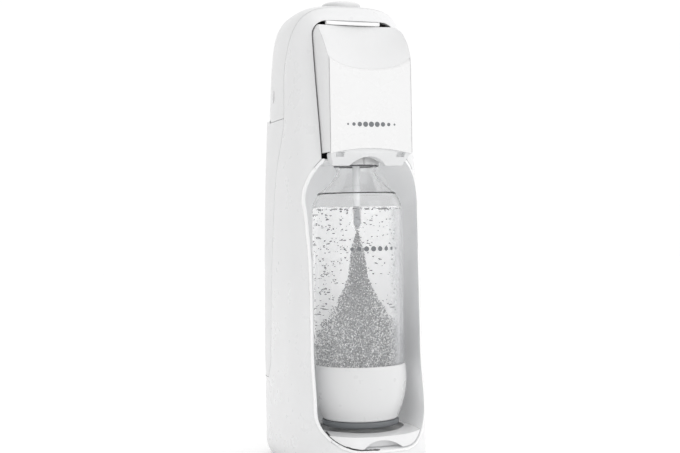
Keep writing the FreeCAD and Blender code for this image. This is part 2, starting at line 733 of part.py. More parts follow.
def actuator_pin():
    y = "cylinder_y"
    low = "valve_top + 1.5 + touch_gap"
    stem = rod("actuator_stem", "pin_bore_radius - running_fit", "0", y, low,
               f"lever_bottom - 2 - ({low})")
    tip = doc.addObject("Part::Cone", "actuator_tip")
    bind(tip, Radius1="pin_bore_radius - running_fit", Radius2="0.8", Height="2 - touch_gap")
    at(tip, "0", y, "lever_bottom - 2")
    return fuse("actuator_pin", stem, tip)


# ---------------------------------------------------------------- button and lever

def button():
    r, top = "button_radius", "button_top"
    return turned("carbonating_button", [
        ("0", "lever_top + 0.4"), ("1.6", "lever_top + 0.4"), ("rod_radius", "lever_top + 5"),
        ("rod_radius", f"{top} - 3"), (f"{r} - 2.5", f"{top} - 3"), (f"{r} - 2.5", f"{top} - button_depth"),
        (r, f"{top} - button_depth"), (r, f"{top} - 2.5", "2.5"), (f"{r} - 2.5", top), ("0", top)])


def button_guide():
    floor = "button_floor"
    bore = "rod_radius + running_fit"
    cup = turned("guide_cup", [
        (bore, f"{floor} - 12"), (f"{bore} + 3", f"{floor} - 12"), (f"{bore} + 3", f"{floor} - 3"),
        ("button_radius + 3", f"{floor} - 3"), ("button_radius + 3", "housing_top + 5"),
        ("button_radius + slide_gap", "housing_top + 5"), ("button_radius + slide_gap", floor),
        (bore, floor)])
    return common("button_guide", cup, shaped("guide_limit", skin(val("wall"), val("rear_step"))))


def actuator_lever():
    low, high = "lever_bottom", "lever_top"
    end = "lever_pivot_y + 4"
    bar = across("lever_bar", [
        ("-7", f"{high} - 5"), ("6", low), (end, low), (end, high), ("-4", high, "3.5")], "lever_half")
    bore = rod("lever_pin_bore", "lever_pin_radius + running_fit", "-20", "lever_pivot_y",
               "lever_pivot_z", "40", "x")
    return cut("actuator_lever", bar, bore)


def lever_pivot_pin():
    reach = "lever_half + ear_thickness + 1"
    return rod("lever_pivot_pin", "lever_pin_radius", f"-({reach})", "lever_pivot_y", "lever_pivot_z",
               f"2 * ({reach})", "x")


def rear_cover_latch():
    """A push pad in the step of the rear cover, on a short stem."""
    low = "step_level - latch_lip_drop"
    pad = box("latch_pad", ("-latch_half", "latch_half"), ("latch_front", "latch_back"),
              (low, "step_level + wall + latch_rise"))
    lip = box("latch_lip", ("-latch_half - 3", "latch_half + 3"),
              ("latch_front - slide_gap", "latch_back + slide_gap"), (f"{low} - latch_lip_height", low))
    stem = rod("latch_stem", "1.2", "0", "latch_back - latch_depth / 2", f"{low} - latch_lip_height - 3", "4")
    return fuse("rear_cover_latch", pad, lip, stem)


# ---------------------------------------------------------------- head in front

def scoop(name, depth=0.0):
    """The thumb hollow's cutter, a trough that runs up and back and is deepest half way."""
    slope = math.radians(46)
    along = Vector(0, math.cos(slope), math.sin(slope))
    outward = Vector(0, -math.sin(slope), math.cos(slope))
    foot = Vector(0, val("head_front"), val("head_top") - 46.5)
    half = val("head_half_width") + 12
    sections = []
    for way, floor, rise in ((-24, 0, 8), (4, 0, 11), (28, -1.5, 24), (50, 1, 16), (80, 6, 8)):
        middle = foot + along * way + outward * (floor - depth)
        left, right = (middle + Vector(side * half, 0, 0) + outward * rise for side in (-1, 1))
        far = outward * 70
        arc = Part.Arc(left, middle, right).toShape()
        sides = [Part.makeLine(right, right + far), Part.makeLine(right + far, left + far),
                 Part.makeLine(left + far, left)]
        sections.append(Part.Wire([arc] + sides))
    return shaped(name, Part.makeLoft(sections, True, False))


def head_side(inset="0"):
    """The head cover's profile from the side."""
    front, top = f"head_front + 0.3 + ({inset})", f"head_top - ({inset})"
    turn = f"head_round - ({inset})"
    back = f"head_front + 46 + 2 * ({inset})"
    low = f"ceiling + 7 - 2 * ({inset})"
    return [(back, low), (back, top), (f"{front} + {turn}", top, turn), (front, f"{top} - {turn}"),
            (front, low)]


def head_plan(inset="0"):
    """The head cover's outline from above: flanks that turn in a little near the front."""
    side = f"head_half_width - ({inset})"
    return [(f"-({side} - 1)", "head_front - 2"), (f"{side} - 1", "head_front - 2"),
            (side, "head_front + 10"), (side, "head_front + 90"), (f"-({side})", "head_front + 90"),
            (f"-({side})", "head_front + 10")]


def head_cover():
    outside = common("head_outside", across("head_profile", head_side(), "head_half_width + 5"),
                     upward("head_outline", head_plan(), "ceiling - 30", "head_top + 30"))
    corners = forward("head_corners", slot_corners("-head_slot_gap"), "head_front + 90", "head_front - 10")
    scooped = cut("head_scooped", common("head_rounded", outside, corners), scoop("thumb_scoop"))
    hollow = common("head_hollow", across("head_inner_profile", head_side("wall"), "head_half_width"),
                    upward("head_inner_outline", head_plan("wall"), "ceiling - 30", "head_top + 30"))
    inner_corners = forward("head_inner_corners", slot_corners("-head_slot_gap - wall"), "head_front + 90",
                            "head_front - 10")
    space = cut("head_space", common("head_inner_rounded", hollow, inner_corners),
                scoop("thumb_scoop_back", val("wall")))
    seat = forward("panel_seat", panel_corners("touch_gap"), "head_front + panel_thickness",
                   "head_front - 10")
    window = box("chin_window", ("-(head_half_width - 3.5)", "head_half_width - 3.5"),
                 ("head_front - 5", "head_front + 14"), ("ceiling", "ceiling + 12.5"))
    return cut("head_cover", scooped, space, seat, window)


def panel_corners(extra="0"):
    side = f"head_half_width - 1.7 + ({extra})"
    low = f"ceiling + 5.5 - ({extra})"
    return [(side, low), (side, "head_top"), (f"-({side})", "head_top"), (f"-({side})", low, "-155")]


def head_front_panel():
    plate = forward("panel_blank", panel_corners(), "head_front + panel_thickness", "head_front")
    return cut("head_front_panel", plate, scoop("panel_top_cut", 0.1))


def head_chin():
    """The sloping piece under the front panel, arched over the bottle's neck."""
    front = "head_front"
    slab = across("chin_slab", [
        (f"{front} + 2", "ceiling + 12"), (f"{front} + 2", "ceiling + 6"),
        (f"{front} + 11.5", "ceiling - 4.5"), (f"{front} + 17.5", "ceiling - 4.5"),
        (f"{front} + 17.5", "ceiling + 2"), (f"{front} + 8", "ceiling + 12")], "head_half_width - 2.7")
    ends = forward("chin_ends", [
        ("-(head_half_width - 7)", "ceiling - 10"), ("head_half_width - 7", "ceiling - 10"),
        ("head_half_width - 7", "ceiling - 4.5"), ("head_half_width - 2.7", "ceiling + 5"),
        ("head_half_width - 2.7", "ceiling + 6.7"), ("head_half_width - 4", "ceiling + 6.7"),
        ("head_half_width - 4", "ceiling + 12"), ("-(head_half_width - 4)", "ceiling + 12"),
        ("-(head_half_width - 4)", "ceiling + 6.7"), ("-(head_half_width - 2.7)", "ceiling + 6.7"),
        ("-(head_half_width - 2.7)", "ceiling + 5"), ("-(head_half_width - 7)", "ceiling - 4.5")],
        "bottle_y", "head_front - 10")
    arch = rod("chin_arch", "collar_radius + 2", "0", "head_front - 10", "ceiling - 19.8", "60", "y")
    notches = [box(f"chin_notch_{i}", x, ("head_front", "head_front + 7"), ("ceiling + 3", "ceiling + 7"))
               for i, x in enumerate((("-32.5", "-25"), ("25", "32.5")))]
    return cut("head_chin", common("chin_trimmed", slab, ends), arch, *notches)


# ---------------------------------------------------------------- tipping head

def carbonation_head():
    y = "bottle_y"
    block = rod("head_block", "collar_radius", "0", y, "head_bottom", "head_block_height")
    arm = box("head_arm", ("-arm_half", "arm_half"), (f"{y} + 6", "pivot_y + 6"),
              ("pivot_z - arm_half_height", "pivot_z + arm_half_height"))
    pins = rod("head_pin_bore", "pivot_radius", "-40", "pivot_y", "pivot_z", "80", "x")
    nozzle = rod("head_nozzle_bore", "nozzle_radius", "0", y, "head_bottom - 1", "19")
    relief = rod("relief_seat", "relief_radius", "0", "relief_y", "relief_bottom - 10", "20")
    return cut("carbonation_head", fuse("head_blank", block, arm), pins, nozzle, relief)


def head_pivot_pins():
    pins = []
    for i, x in enumerate(("-shelf_half", "shelf_half - 12")):
        bar = rod(f"pivot_bar_{i}", "pivot_radius", x, "pivot_y", "pivot_z", "12", "x")
        way = rod(f"pivot_way_{i}", "1", f"{x} - 1", "pivot_y", "pivot_z", "14", "x")
        pins.append(cut(f"pivot_pin_{i}", bar, way))
    return fuse("head_pivot_pins", *pins)


def bottle_collar():
    ring = turned("collar_ring", [
        ("neck_radius + touch_gap", "collar_bottom"), ("collar_radius", "collar_bottom"),
        ("collar_radius", "head_bottom"), ("neck_radius - 3", "head_bottom"),
        ("neck_radius - 3", "head_bottom - 0.5"), ("neck_radius + touch_gap", "head_bottom - 0.5")],
        y="bottle_y")
    return cut("bottle_collar", ring, rod("collar_notch", "0.8", "0", "bottle_y - collar_radius",
                                          "collar_bottom - 1", "8"))


def bottle_seal():
    return turned("bottle_seal", [
        ("neck_radius - 3", "neck_top + touch_gap"), ("neck_radius - 0.2", "neck_top + touch_gap"),
        ("neck_radius - 0.2", "head_bottom - 0.5"), ("neck_radius - 3", "head_bottom - 0.5")],
        y="bottle_y")


def nozzle_tube():
    low = "water_top - nozzle_depth + 8"
    tube = rod("nozzle_outside", "nozzle_radius", "0", "bottle_y", low, f"head_bottom + 18 - ({low})")
    return cut("nozzle_tube", tube, rod("nozzle_way", "nozzle_radius - 1.2", "0", "bottle_y",
                                        f"{low} - 1", "400"))


def nozzle_tip():
    low, high = "water_top - nozzle_depth", "water_top - nozzle_depth + 8"
    return turned("nozzle_tip", [
        ("0.6", low), ("1.5", low), ("nozzle_radius", f"{low} + 4"), ("nozzle_radius", high), ("0.6", high)],
        y="bottle_y")


def relief_valve_body():
    low, high = "relief_bottom", "relief_bottom + relief_height"
    r = "relief_radius"
    return turned("relief_valve_body", [
        (r, f"{low} - 6"), (r, low), (f"{r} + 2", low), (f"{r} + 2", high),
        ("2", high), ("2", f"{high} - 2"), (f"{r} + 0.1", f"{high} - 2"), (f"{r} + 0.1", f"{low} + 0.5"),
        ("1.2", f"{low} - 3"), ("1.2", f"{low} - 6")], y="relief_y")


def relief_poppet():
    low, r = "relief_bottom", "relief_radius - 0.3"
    high = f"{low} + relief_height + 1"
    return turned("relief_poppet", [
        ("0", f"{low} - 0.4"), (r, f"{low} + 0.9"), (r, f"{low} + 2.5"), ("1.4", f"{low} + 2.5"),
        ("1.4", high), ("0", high)], y="relief_y")


# ---------------------------------------------------------------- bottle

def bottle():
    r, n, t = "bottle_radius", "neck_radius", "bottle_wall"
    foot, ridge = "bottle_base", "ridge"
    outer = [
        ("0", foot), (f"{r} - cup_taper - 12", foot, "14"), (f"{r} - cup_taper - 1.2", f"{foot} + 9"),
        (f"{r} - 0.6", "cup_top + 1"), (r, "cup_top + 5"), (r, "shoulder_bottom", "26"),
        (f"{r} - 5.3", ridge), (f"{r} - 6.1", f"{ridge} + 1.6", "-40"),
        (f"{n} - 0.6", "neck_bottom + 1"), (f"{n} - 0.6", "neck_top - 19"), (n, "neck_top - 18"),
        (n, "neck_top - 16"), (f"{n} - 1", "neck_top - 15"), (f"{n} - 1", "neck_top - 11"),
        (n, "neck_top - 10"), (n, "neck_top - 8"), (f"{n} - 1", "neck_top - 7"), (f"{n} - 1", "neck_top"),
    ]
    inner = [
        (f"{n} - 2 - {t}", "neck_top"), (f"{n} - 2 - {t}", "neck_bottom + 1", "41"),
        (f"{r} - 6.1 - {t}", f"{ridge} + 0.4"), (f"{r} - 5.3 - {t}", f"{ridge} - 0.6", "-25"),
        (f"{r} - {t}", "shoulder_bottom"), (f"{r} - {t}", "cup_top + 5"),
        (f"{r} - 0.6 - {t}", "cup_top + 1"), (f"{r} - cup_taper - 1.2 - {t}", f"{foot} + 9.5", "-14"),
        (f"{r} - cup_taper - 13", f"{foot} + {t}"), ("0", f"{foot} + {t}"),
    ]
    return turned("bottle", outer + inner, y="bottle_y")


def bottle_water():
    r, t = "bottle_radius", "bottle_wall"
    foot, gap = "bottle_base", "glue_gap"
    body = turned("water_body", [
        ("0", f"{foot} + {t} + {gap}"), (f"{r} - cup_taper - 13", f"{foot} + {t} + {gap}", "14"),
        (f"{r} - cup_taper - 1.2 - {t} - {gap}", f"{foot} + 9.6"),
        (f"{r} - 0.6 - {t} - {gap}", "cup_top + 1"), (f"{r} - {t} - {gap}", "cup_top + 5"),
        (f"{r} - {t} - {gap}", "shoulder_bottom"), (f"{r} - {t} - {gap} - 0.7", "water_top"),
        ("0", "water_top")], y="bottle_y")
    hole = rod("water_hole", "nozzle_radius + touch_gap", "0", "bottle_y",
               "water_top - nozzle_depth - touch_gap", "60")
    return cut("bottle_water", body, hole)


def bottle_cup():
    """The moulded cup that the bottle's foot is glued into."""
    r, gap = "bottle_radius", "glue_gap"
    foot, low = "bottle_base", "cup_bottom"
    return turned("bottle_cup", [
        ("0", low), (f"{r} - cup_taper - 3", low, "3"), (f"{r} - cup_taper", f"{low} + 3", "150"),
        (f"{r} + 0.8", "cup_top - 1", "1"), (f"{r} + 0.1", "cup_top"),
        (f"{r} - 0.6 - {gap}", "cup_top"), (f"{r} - cup_taper - 1.2 + {gap}", f"{foot} + 9", "-14"),
        (f"{r} - cup_taper - 12", f"{foot} - {gap}"), ("0", f"{foot} - {gap}")], y="bottle_y")


def bottle_foot_ring():
    r = "bottle_radius - cup_taper"
    return turned("bottle_foot_ring", [
        (f"{r} - 8", "bottle_foot"), (f"{r} - 1.5", "bottle_foot", "1.5"), (r, "bottle_foot + 1.5"),
        (r, "cup_bottom - 0.8"), (f"{r} - 1", "cup_bottom"), (f"{r} - 8", "cup_bottom")], y="bottle_y")


# ---------------------------------------------------------------- drip tray

def drip_tray():
    low, top = "base_height + touch_gap", "tray_top"
    slab = forward("tray_blank", bay_corners("-touch_gap - 0.5"), "bay_back - 1", "-half_depth - 10")
    side = across("tray_side", [
        ("-half_depth - 10", low), ("bay_back", low), ("bay_back", top), ("bottle_y - 20", top, "260"),
        ("-half_depth + 8", f"{top} - 2.2"), ("-half_depth - 10", f"{top} - 3.5")], "half_width")
    body = common("tray_body", common("tray_slice", slab, side), shaped("tray_limit", skin(0.4)))
    radius, floor = "bottle_radius - dish_inset", f"{low} + dish_floor"
    dish = turned("tray_dish", [
        ("0", floor), (f"{radius} - 4", floor, "5"), (radius, f"{floor} + 3"),
        (f"{radius} + 1", f"{top} + 4"), ("0", f"{top} + 4")], y="bottle_y")
    notch = forward("finger_notch", [
        ("-finger_notch_half", "base_height - 3"), ("finger_notch_half", "base_height - 3"),
        ("finger_notch_half", f"{low} + 0.6", "finger_notch_arch"),
        ("-finger_notch_half", f"{low} + 0.6")], "-half_depth + 13", "-half_depth - 10")
    return cut("drip_tray", body, dish, notch)


# ---------------------------------------------------------------- build and export

def springs():
    top = "button_top - 3 - touch_gap"
    button_spring = coil("button_spring", 9.0, 0.7, "button_floor", f"{top} - button_floor", 5, "0")
    latch_spring = coil("latch_spring", 1.8, 0.3, "step_level - 12", "6.4", 4,
                        "latch_back - latch_depth / 2")
    valve_spring = coil("valve_spring", 2.1, 0.3, "valve_top - thread_depth + 5", "23.7", 9, "cylinder_y")
    relief_spring = coil("relief_spring", 2.5, 0.35, "relief_bottom + 2.6", "relief_height - 4.6", 4,
                         "relief_y")
    return [button_spring, latch_spring, valve_spring, relief_spring]


fill_sheet()
makers = (
    front_housing, rear_housing, rear_cover, bay_liner, base_plate, rubber_feet, base_screws,
    inner_frame, frame_screws, cylinder_holder, cylinder_seal, gas_tube, tube_fittings,
    gas_cylinder, cylinder_valve_body, valve_pin, actuator_pin, button, button_guide,
    actuator_lever, lever_pivot_pin, rear_cover_latch, head_cover, head_front_panel, head_chin,
    carbonation_head, head_pivot_pins, bottle_collar, bottle_seal, nozzle_tube, nozzle_tip,
    relief_valve_body, relief_poppet, bottle, bottle_water, bottle_cup, bottle_foot_ring, drip_tray,
)
nodes = [make() for make in makers] + springs()
doc.recompute()

def is_faulty(thing):
    """True for an object in error, or one whose solid is missing or not valid."""
    if {"Invalid", "Error"} & set(thing.State):
        return True
    if thing.TypeId == "Sketcher::SketchObject" or thing.TypeId.startswith("App::"):
        return False
    shape = getattr(thing, "Shape", None)
    return shape is not None and (shape.isNull() or not shape.isValid())


faults = [thing.Name for thing in doc.Objects if is_faulty(thing)]
if faults:
    raise RuntimeError("faulty objects: " + ", ".join(faults))

for node in nodes:
    node.Label = node.Name
    print(f"{node.Label:22s} solids {len(node.Shape.Solids)}  volume {node.Shape.Volume / 1000:8.2f} cm3")
    node.Shape.exportStep(f"parts/{node.Label}.step")
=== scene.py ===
import math
import random

import bpy
from mathutils import Matrix, Vector


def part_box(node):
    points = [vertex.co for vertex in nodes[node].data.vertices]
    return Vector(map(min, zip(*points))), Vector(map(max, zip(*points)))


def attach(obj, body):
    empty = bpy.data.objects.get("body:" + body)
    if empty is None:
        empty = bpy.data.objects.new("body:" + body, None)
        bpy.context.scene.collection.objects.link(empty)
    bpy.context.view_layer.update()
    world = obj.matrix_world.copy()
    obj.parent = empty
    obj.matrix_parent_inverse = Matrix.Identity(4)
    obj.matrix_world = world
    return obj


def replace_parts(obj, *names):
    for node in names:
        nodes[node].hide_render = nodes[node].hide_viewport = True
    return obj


# A white soda carbonator with a filled bottle in its bay, in metres.
# Front faces -Y, +X is to the right seen from the front, +Z is up, z = 0 is the table.

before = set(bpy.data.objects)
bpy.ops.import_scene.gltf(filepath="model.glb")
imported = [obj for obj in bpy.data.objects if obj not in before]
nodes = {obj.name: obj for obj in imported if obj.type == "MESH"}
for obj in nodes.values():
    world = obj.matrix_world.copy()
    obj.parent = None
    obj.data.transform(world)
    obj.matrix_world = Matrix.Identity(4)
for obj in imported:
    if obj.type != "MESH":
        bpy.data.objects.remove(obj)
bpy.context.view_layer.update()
scene = bpy.context.scene
MM = 0.001


# ---------------------------------------------------------------- places read from the frame

bottle_low, bottle_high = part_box("bottle")
water_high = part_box("bottle_water")[1]
cup_low, cup_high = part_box("bottle_cup")
ring_low, ring_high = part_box("bottle_foot_ring")
collar_low, collar_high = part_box("bottle_collar")
tip_low, tip_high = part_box("nozzle_tip")
panel_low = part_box("head_front_panel")[0]

AXIS = (collar_low + collar_high) / 2
BOTTLE_RADIUS = (bottle_high.x - bottle_low.x) / 2
NECK_TOP = bottle_high.z
NECK_RADIUS = 18.0 * MM
WALL = 1.2 * MM
WATER_LIP = 0.5 * MM
TUBE_CLEARANCE = 3.75 * MM


# ---------------------------------------------------------------- material kit

def new_material(name):
    """A material with an empty node tree but for its output."""
    material = bpy.data.materials.new(name)
    material.use_nodes = True
    tree = material.node_tree
    tree.nodes.clear()
    tree.nodes.new("ShaderNodeOutputMaterial").name = "out"
    return material, tree


def finish_with(tree, shader):
    """Sends a shader to the material's output."""
    tree.links.new(shader.outputs[0], tree.nodes["out"].inputs["Surface"])


def principled(tree, **values):
    """A principled shader with its sockets set by name, an underscore for each space."""
    shader = tree.nodes.new("ShaderNodeBsdfPrincipled")
    for socket, value in values.items():
        shader.inputs[socket.replace("_", " ")].default_value = value
    return shader


def noise(tree, scale, detail):
    """Noise in the object's own metres, as a 0 to 1 value."""
    place = tree.nodes.new("ShaderNodeTexCoord")
    texture = tree.nodes.new("ShaderNodeTexNoise")
    texture.inputs["Scale"].default_value = scale
    texture.inputs["Detail"].default_value = detail
    tree.links.new(place.outputs["Object"], texture.inputs["Vector"])
    return texture.outputs["Fac"]


def spread(tree, value, low, high, start=0.3, end=0.7):
    """Maps a value from start..end to low..high."""
    ranged = tree.nodes.new("ShaderNodeMapRange")
    ranged.inputs["From Min"].default_value = start
    ranged.inputs["From Max"].default_value = end
    ranged.inputs["To Min"].default_value = low
    ranged.inputs["To Max"].default_value = high
    tree.links.new(value, ranged.inputs["Value"])
    return ranged.outputs["Result"]


def two_tone(tree, value, first, second):
    """A colour between two colours, by a 0 to 1 value."""
    mix = tree.nodes.new("ShaderNodeMix")
    mix.data_type = "RGBA"
    mix.inputs["A"].default_value = (*first, 1)
    mix.inputs["B"].default_value = (*second, 1)
    tree.links.new(value, mix.inputs["Factor"])
    return mix.outputs["Result"]


def grain_normal(tree, height, distance, strength, edge=0.0):
    """A bump from a height value, over edges softened by a small radius."""
    bump = tree.nodes.new("ShaderNodeBump")
    bump.inputs["Strength"].default_value = strength
    bump.inputs["Distance"].default_value = distance
    tree.links.new(height, bump.inputs["Height"])
    if edge:
        bevel = tree.nodes.new("ShaderNodeBevel")
        bevel.samples = 4
        bevel.inputs["Radius"].default_value = edge
        tree.links.new(bevel.outputs["Normal"], bump.inputs["Normal"])
    return bump.outputs["Normal"]


def darken_with_painted_shade(tree, tone, depth):
    """The same tone, painted darker in creases and beside taller walls: painted shade from an occlusion
    node, as soft studio light leaves it.
    """
    crease_shade = tree.nodes.new("ShaderNodeAmbientOcclusion")
    crease_shade.samples = 6
    crease_shade.inputs["Distance"].default_value = 28 * MM
    shade = spread(tree, crease_shade.outputs["AO"], 1 - depth, 1, 0.35, 0.95)
    mix = tree.nodes.new("ShaderNodeMix")
    mix.data_type = "RGBA"
    mix.inputs["A"].default_value = (0, 0, 0, 1)
    tree.links.new(shade, mix.inputs["Factor"])
    tree.links.new(tone, mix.inputs["B"])
    return mix.outputs["Result"]


def moulded(name, colour, roughness, edge=0.6 * MM, coat=0.0, grain=0.02 * MM, metal=0.0, crease_shade=0.0,
            glow=0.0):
    """Moulded plastic or plain metal: faint tone drift, uneven sheen, fine surface grain, with optional
    painted shade in creases and an optional glow.
    """
    material, tree = new_material(name)
    shader = principled(tree, Metallic=metal, Coat_Weight=coat, Coat_Roughness=0.08)
    # the glow is painted light on the bay liner and the slot lip, and keeps the floor evenly white
    shader.inputs["Emission Color"].default_value = (1, 1, 1, 1)
    shader.inputs["Emission Strength"].default_value = glow
    drift = spread(tree, noise(tree, 22, 3), 0, 1)
    darker = tuple(0.985 * c for c in colour)
    tone = two_tone(tree, drift, colour, darker)
    # painted shade: the tone is darkened in creases and beside walls
    if crease_shade:
        tone = darken_with_painted_shade(tree, tone, crease_shade)
    tree.links.new(tone, shader.inputs["Base Color"])
    sheen = spread(tree, noise(tree, 60, 4), roughness * 0.85, roughness * 1.15)
    tree.links.new(sheen, shader.inputs["Roughness"])
    fine = noise(tree, 1500, 2)
    tree.links.new(grain_normal(tree, fine, grain, 0.4, edge), shader.inputs["Normal"])
    finish_with(tree, shader)
    return material


def clear_glass(name, index, glow=0.0):
    """A clear solid such as water or a bottle's wall, which lets the fill light through; a glow adds even
    painted light on top.
    """
    material, tree = new_material(name)
    glass = tree.nodes.new("ShaderNodeBsdfGlass")
    glass.inputs["Color"].default_value = (1, 1, 1, 1)
    glass.inputs["IOR"].default_value = index
    sheen = spread(tree, noise(tree, 40, 2), 0.0, 0.02)
    tree.links.new(sheen, glass.inputs["Roughness"])
    ripple = noise(tree, 90, 2)
    tree.links.new(grain_normal(tree, ripple, 0.03 * MM, 0.3), glass.inputs["Normal"])
    body = glass
    # painted light: an even glow added over the glass
    if glow:
        painted_glow = tree.nodes.new("ShaderNodeEmission")
        painted_glow.inputs["Strength"].default_value = glow
        both = tree.nodes.new("ShaderNodeAddShader")
        tree.links.new(glass.outputs[0], both.inputs[0])
        tree.links.new(painted_glow.outputs[0], both.inputs[1])
        body = both
    open_way = tree.nodes.new("ShaderNodeBsdfTransparent")
    path = tree.nodes.new("ShaderNodeLightPath")
    either = tree.nodes.new("ShaderNodeMath")
    either.operation = "MAXIMUM"
    tree.links.new(path.outputs["Is Shadow Ray"], either.inputs[0])
    tree.links.new(path.outputs["Is Diffuse Ray"], either.inputs[1])
    choose = tree.nodes.new("ShaderNodeMixShader")
    tree.links.new(either.outputs[0], choose.inputs[0])
    tree.links.new(body.outputs[0], choose.inputs[1])
    tree.links.new(open_way.outputs[0], choose.inputs[2])
    finish_with(tree, choose)
    return material


# ---------------------------------------------------------------- mesh kit

def mesh_piece(name, points, faces, material, body, smooth=True):
    """A piece from points and faces, riding on a body, with the material it is given."""
    mesh = bpy.data.meshes.new(name)
    mesh.from_pydata(points, [], faces)
    mesh.validate()
    mesh.materials.append(material)
    if smooth:
        mesh.shade_smooth()
    piece = bpy.data.objects.new(name, mesh)
    scene.collection.objects.link(piece)
    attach(piece, body)
    return piece


def bend(start, end, sag, steps=8):
    """Points of a shallow curve from start to end; a positive sag bulges to the right of the way."""
    start, end = Vector(start), Vector(end)
    way = end - start
    side = Vector((way.y, -way.x)).normalized() * sag
    curve = []
    for step in range(steps):
        t = step / steps
        curve.append(tuple(start + way * t + side * (4 * t * (1 - t))))
    return curve


def lathe(name, profile, material, body, steps=144, closed=True):
    """A piece turned about the bottle's axis from (radius, height) points; one on it is one vertex."""
    points, rings = [], []
    for radius, height in profile:
        if radius < 1e-6:
            rings.append([len(points)] * steps)
            points.append((AXIS.x, AXIS.y, height))
            continue
        rings.append(list(range(len(points), len(points) + steps)))
        for step in range(steps):
            turn = 2 * math.pi * step / steps
            points.append((AXIS.x + radius * math.cos(turn), AXIS.y + radius * math.sin(turn), height))
    faces = []
    pairs = list(zip(rings, rings[1:] + rings[:1] if closed else rings[1:]))
    for low, high in pairs:
        if low[0] == low[1] and high[0] == high[1]:
            continue
        for step in range(steps):
            after = (step + 1) % steps
            corners = [low[step], low[after], high[after], high[step]]
            faces.append(list(dict.fromkeys(corners)))
    return mesh_piece(name, points, faces, material, body)


# ---------------------------------------------------------------- casing materials

def dress_cad():
    """Gives every carried-over CAD node its moulded plastic, metal or rubber."""
    # the two white casings get painted shade in their creases
    white = moulded("white_gloss", (0.86, 0.862, 0.866), 0.30, coat=0.25, crease_shade=0.3)
    cover = moulded("white_satin", (0.84, 0.842, 0.845), 0.34, coat=0.15, crease_shade=0.25)
    panel = moulded("white_panel", (0.85, 0.85, 0.85), 0.28, coat=0.3, edge=0.4 * MM)
    # painted light: the liner glows a little to brighten the inside of the bay
    liner = moulded("liner_grey_painted_glow", (0.87, 0.875, 0.88), 0.36, glow=0.08)
    chin = moulded("chin_grey", (0.80, 0.805, 0.81), 0.35, edge=0.4 * MM)
    tray = moulded("tray_white", (0.86, 0.86, 0.865), 0.16, coat=0.6, edge=1.0 * MM)
    dark = moulded("dark_plastic", (0.05, 0.05, 0.055), 0.45)
    grey = moulded("base_grey", (0.20, 0.20, 0.21), 0.5)
    rubber = moulded("foot_rubber", (0.03, 0.03, 0.03), 0.75, grain=0.06 * MM)
    steel = moulded("screw_steel", (0.55, 0.55, 0.57), 0.28, metal=1.0, edge=0.2 * MM)
    brass = moulded("valve_brass", (0.72, 0.53, 0.25), 0.25, metal=1.0, edge=0.2 * MM)
    alloy = moulded("alloy", (0.68, 0.69, 0.70), 0.32, metal=1.0, edge=0.3 * MM)
    paint = moulded("cylinder_paint", (0.55, 0.58, 0.62), 0.3, coat=0.4)
    pipe = moulded("pipe_plastic", (0.78, 0.78, 0.80), 0.3)
    tube = moulded("nozzle_white", (0.90, 0.91, 0.92), 0.22, edge=0)
    # painted shade: the nozzle's tip, standing in the water, is drawn dark grey
    tip_painted_shade = moulded("nozzle_painted_shade", (0.16, 0.17, 0.19), 0.3, edge=0)
    dressed = {
        white: ("front_housing", "carbonating_button", "rear_cover_latch", "bottle_collar"),
        cover: ("rear_housing", "rear_cover", "head_cover"),
        panel: ("head_front_panel",),
        liner: ("bay_liner",),
        chin: ("head_chin",),
        tray: ("drip_tray",),
        dark: ("inner_frame", "button_guide", "carbonation_head"),
        grey: ("base_plate",),
        rubber: ("rubber_feet", "cylinder_seal", "bottle_seal"),
        steel: ("base_screws", "frame_screws", "lever_pivot_pin", "actuator_lever", "actuator_pin",
                "valve_pin", "button_spring", "latch_spring", "valve_spring", "relief_spring"),
        brass: ("tube_fittings", "cylinder_valve_body", "relief_valve_body", "relief_poppet"),
        alloy: ("cylinder_holder", "head_pivot_pins"),
        paint: ("gas_cylinder",),
        pipe: ("gas_tube",),
        tube: ("nozzle_tube",),
        tip_painted_shade: ("nozzle_tip",),
    }
    for material, names in dressed.items():
        for name in names:
            mesh = nodes[name].data
            mesh.materials.clear()
            mesh.materials.append(material)
            mesh.shade_smooth()
            mesh.set_sharp_from_angle(angle=math.radians(32))


# ---------------------------------------------------------------- bottle, cup and water

def bottle_profile():
    """The bottle's outside from its foot to its mouth."""
    foot, rim = bottle_low.z, cup_high.z
    foot_rise = foot + 9 * MM
    foot_radius = BOTTLE_RADIUS - 7.7 * MM
    shoulder = NECK_TOP - 64 * MM
    ridge = shoulder + 16.5 * MM
    ridge_radius = BOTTLE_RADIUS - 5.3 * MM
    cone_top = NECK_TOP - 27 * MM
    neck = NECK_RADIUS - 0.6 * MM
    root = NECK_RADIUS - 1 * MM
    outside = [(0.0, foot)]
    outside += bend((foot_radius - 11 * MM, foot), (foot_radius, foot_rise), 2.6 * MM)
    outside += [(foot_radius, foot_rise), (BOTTLE_RADIUS - 0.6 * MM, rim + 1 * MM)]
    outside += [(BOTTLE_RADIUS, rim + 5 * MM)]
    outside += bend((BOTTLE_RADIUS, shoulder), (ridge_radius, ridge), 1.4 * MM, 12)
    outside += [(ridge_radius, ridge), (ridge_radius + 0.3 * MM, ridge + 0.5 * MM),
                (ridge_radius - 0.1 * MM, ridge + 1.1 * MM)]
    outside += bend((ridge_radius - 0.8 * MM, ridge + 1.6 * MM), (neck, cone_top), -1.9 * MM, 14)
    outside += [(neck, cone_top), (neck, NECK_TOP - 19 * MM)]
    for level in (18, 10):
        outside += [(NECK_RADIUS, NECK_TOP - level * MM), (NECK_RADIUS, NECK_TOP - (level - 2) * MM),
                    (root, NECK_TOP - (level - 3) * MM), (root, NECK_TOP - (level - 7) * MM)]
    outside.append((root, NECK_TOP))
    return outside


